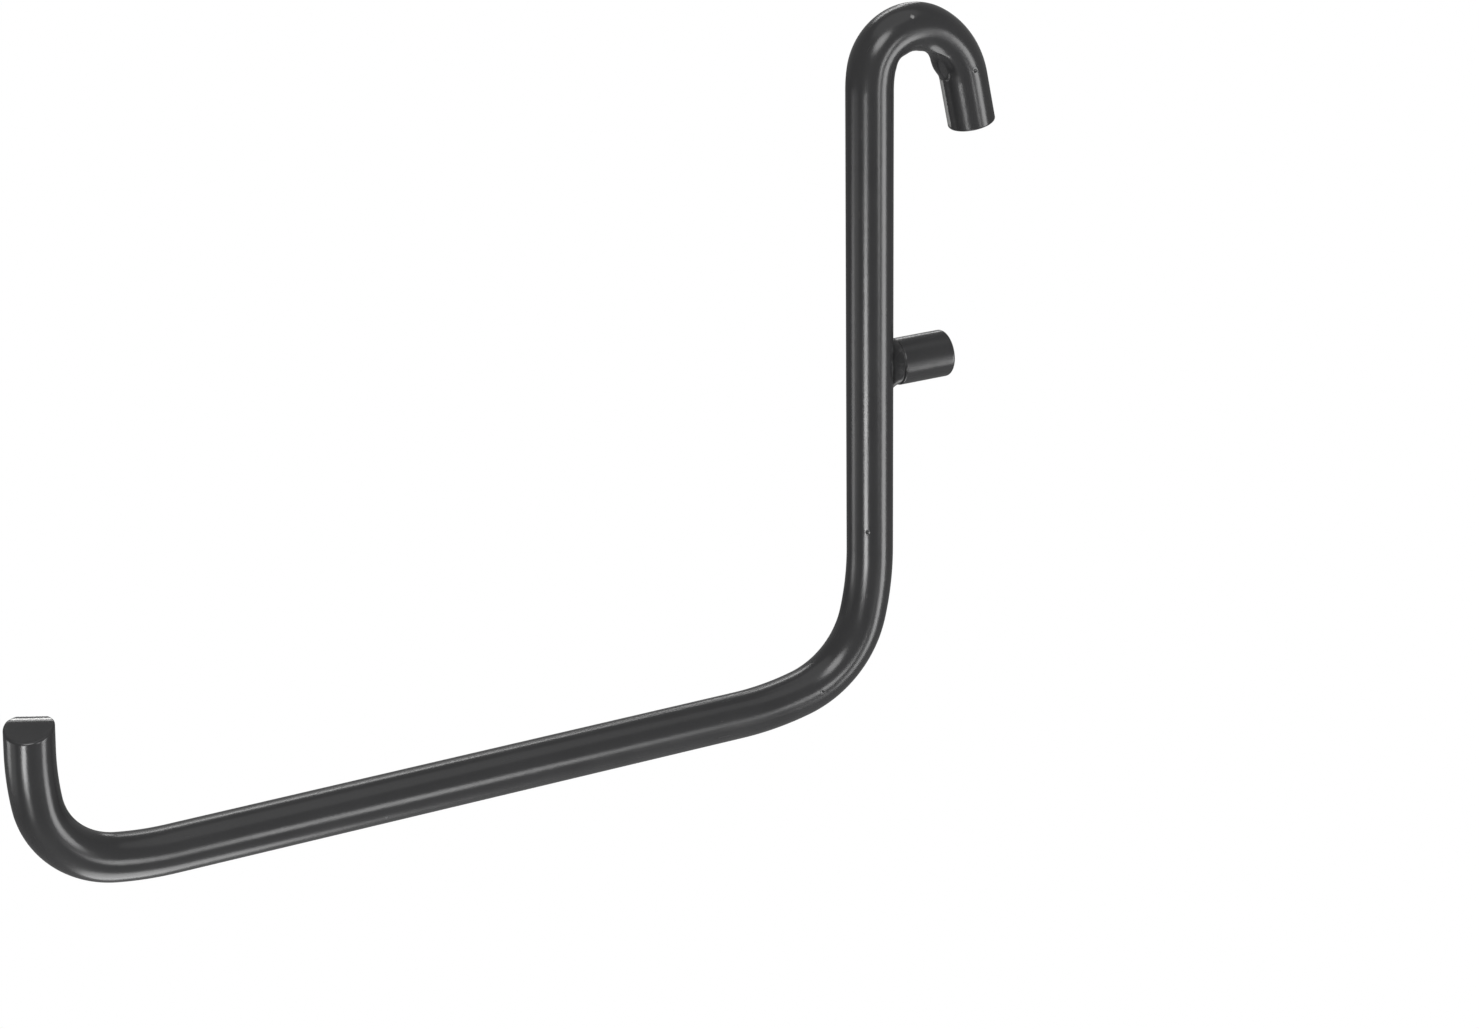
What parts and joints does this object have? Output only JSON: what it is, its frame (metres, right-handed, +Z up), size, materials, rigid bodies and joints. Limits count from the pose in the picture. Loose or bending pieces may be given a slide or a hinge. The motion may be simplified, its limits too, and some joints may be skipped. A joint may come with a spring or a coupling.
{
  "type": "pegboard hook",
  "caption": "Bent steel rod hook with a J end and a short welded peg that hold its shank against a pegboard, and a long straight arm with a turned-up tip.",
  "frame": {"origin": "on the front face of the board, where the peg's axis meets it; the shank's back lies in this plane", "axes": "+Z up along the shank, +Y into the board along the peg, the arm along -Y, X across the rod"},
  "size_m": [0.0036, 0.079, 0.0556],
  "materials": {
    "satin_coat": "satin black coating",
    "weld_coat": "satin black coating, thinner and rougher over the weld"
  },
  "bodies": {
    "root": {"hook_rod": "satin_coat", "locating_peg": "satin_coat", "peg_weld": "weld_coat"}
  },
  "joints": []
}
